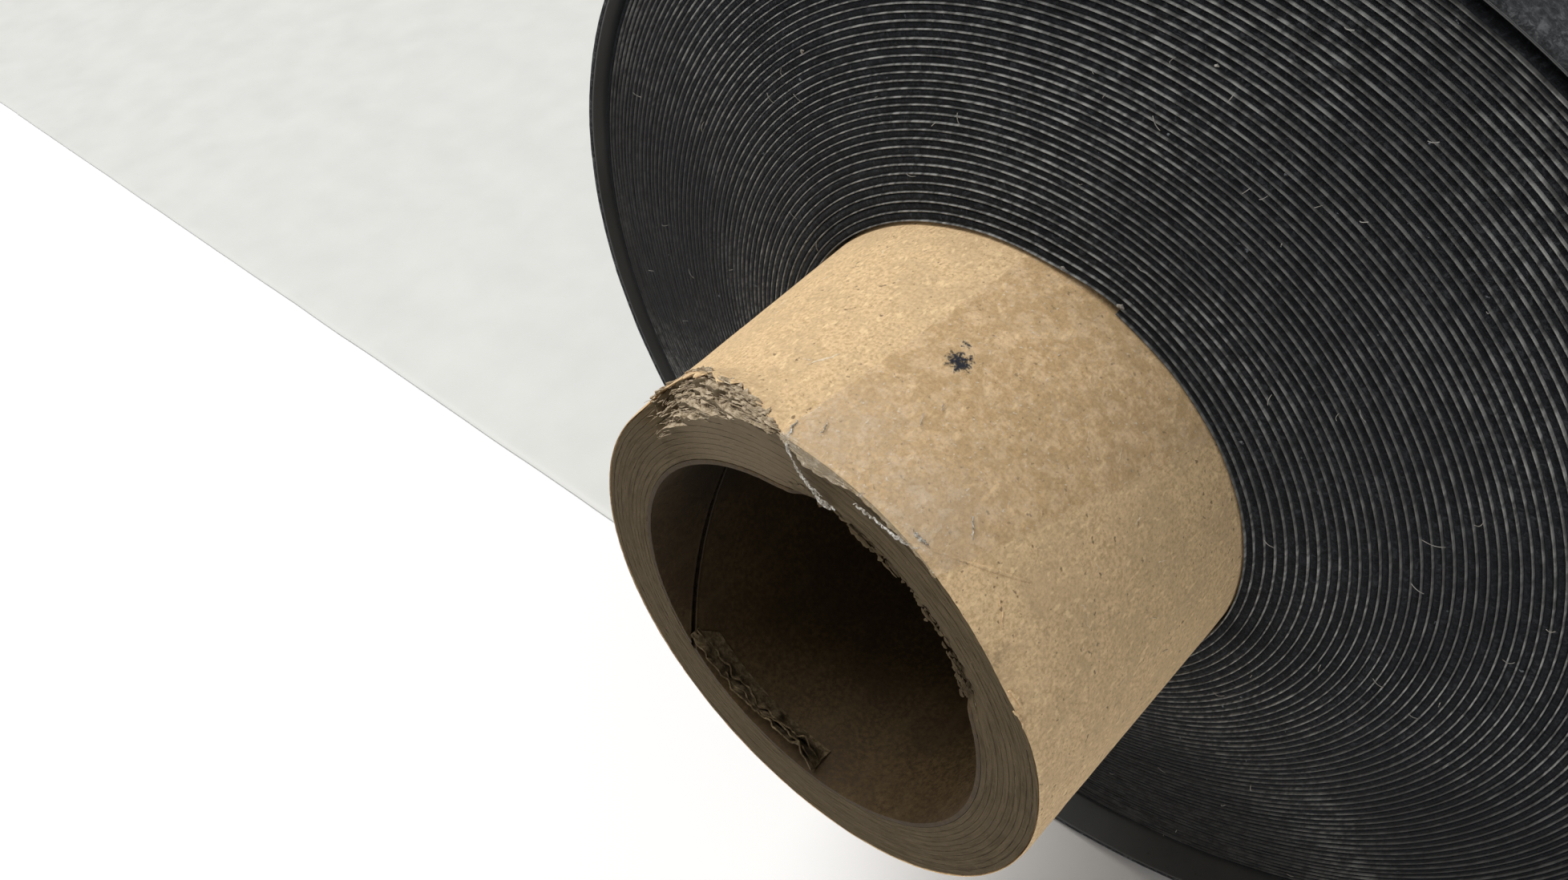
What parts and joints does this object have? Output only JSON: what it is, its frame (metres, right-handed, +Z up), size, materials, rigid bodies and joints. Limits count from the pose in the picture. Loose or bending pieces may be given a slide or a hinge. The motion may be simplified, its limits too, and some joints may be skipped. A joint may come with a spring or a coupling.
{
  "type": "roll of laminated fleece web on a paper core",
  "caption": "Wide roll of black fleece web with a white film facing, wound on a long paper tube core, lying on its side with a flat free tail.",
  "frame": {"origin": "on the core's axis, halfway along the core", "axes": "+Y along the core's axis, away from the end where the tape strip is; +Z up, with the roll lying on its side; the free tail runs towards -X"},
  "size_m": [1.3764, 0.512, 0.2432],
  "materials": {
    "core_board": "matte",
    "kraft_wrap": "matte",
    "clear_tape": "satin",
    "black_fleece": "matte",
    "white_film": "satin"
  },
  "bodies": {
    "outer_turn": {"outer_turn_fleece": "black_fleece", "outer_turn_film": "white_film", "tail_base_fleece": "black_fleece", "tail_base_film": "white_film"},
    "roll": {"core_liner_ply": "core_board", "core_body_ply_01": "core_board", "core_body_ply_02": "core_board", "core_body_ply_03": "core_board", "core_body_ply_04": "core_board", "core_body_ply_05": "core_board", "core_body_ply_06": "core_board", "core_body_ply_07": "core_board", "core_body_ply_08": "core_board", "core_body_ply_09": "core_board", "core_body_ply_10": "core_board", "core_kraft_wrap": "kraft_wrap", "core_tape_strip": "clear_tape", "wound_web": "black_fleece"},
    "tail_panel_1": {"tail_panel_1_fleece": "black_fleece", "tail_panel_1_film": "white_film"},
    "tail_panel_2": {"tail_panel_2_fleece": "black_fleece", "tail_panel_2_film": "white_film"},
    "tail_panel_3": {"tail_panel_3_fleece": "black_fleece", "tail_panel_3_film": "white_film"}
  },
  "joints": [
    {"name": "roll_turn", "type": "hinge", "parent": "outer_turn", "child": "roll", "pos_m": [0, 0, 0], "axis": [0, 1, 0], "continuous": true},
    {"name": "tail_lift", "type": "hinge", "parent": "outer_turn", "child": "tail_panel_1", "pos_m": [-0.13, 0, -0.1203], "axis": [0, 1, 0], "range_deg": [0, 90]},
    {"name": "tail_fold", "type": "hinge", "parent": "tail_panel_1", "child": "tail_panel_2", "pos_m": [-0.505, 0, -0.1203], "axis": [0, 1, 0], "range_deg": [0, 90]},
    {"name": "tail_end_fold", "type": "hinge", "parent": "tail_panel_2", "child": "tail_panel_3", "pos_m": [-0.88, 0, -0.1203], "axis": [0, 1, 0], "range_deg": [0, 90]}
  ]
}
